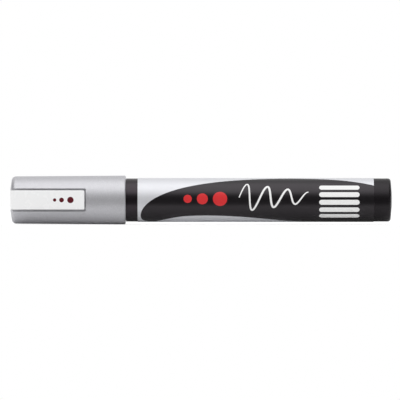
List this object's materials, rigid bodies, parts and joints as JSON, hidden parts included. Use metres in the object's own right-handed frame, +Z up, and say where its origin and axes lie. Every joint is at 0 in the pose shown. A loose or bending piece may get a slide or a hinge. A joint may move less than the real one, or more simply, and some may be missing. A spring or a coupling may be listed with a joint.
{
  "type": "liquid chalk marker",
  "caption": "Capped liquid chalk marker: pull-off cap with a pocket clip, bullet nib that presses in to open a sprung ink valve, wrapped barrel and tail plug.",
  "frame": {"origin": "on the marker's axis, half way along the printed barrel", "axes": "+X along the axis towards the tail, the cap at -X; the pocket clip faces -Y; +Z up"},
  "size_m": [0.1379, 0.0183, 0.0176],
  "materials": {
    "cap_silver": "silver-grey moulded plastic with fine metallic flake",
    "clip_white": "smooth white moulded plastic",
    "body_black": "satin black moulded plastic",
    "label_print": "thin printed film, silver with a black field",
    "natural_plastic": "uncoloured moulded plastic",
    "nib_fibre": "pressed fibre",
    "seat_soft": "soft moulded elastomer",
    "steel": "bright steel"
  },
  "bodies": {
    "barrel": {"barrel": "body_black", "label_film": "label_print", "tail_plug": "body_black", "front_section": "body_black", "valve_seat": "seat_soft", "spring_cage": "natural_plastic", "valve_spring": "steel"},
    "nib": {"nib": "nib_fibre", "valve_rod": "natural_plastic"},
    "cap": {"cap_shell": "cap_silver", "pocket_clip": "clip_white", "inner_cap": "natural_plastic"},
    "ball": {"mixing_ball": "steel"}
  },
  "joints": [
    {"name": "cap_pull", "type": "slide", "parent": "barrel", "child": "cap", "axis": [-1, 0, 0], "range_m": [0, 0.05]},
    {"name": "nib_press", "type": "slide", "parent": "barrel", "child": "nib", "axis": [1, 0, 0], "range_m": [0, 0.002], "stiffness_N_per_m": 300, "springref_m": -0.003, "deforming": ["valve_spring"]},
    {"name": "ball_travel", "type": "slide", "parent": "barrel", "child": "ball", "axis": [-1, 0, 0], "range_m": [0, 0.0645]}
  ]
}
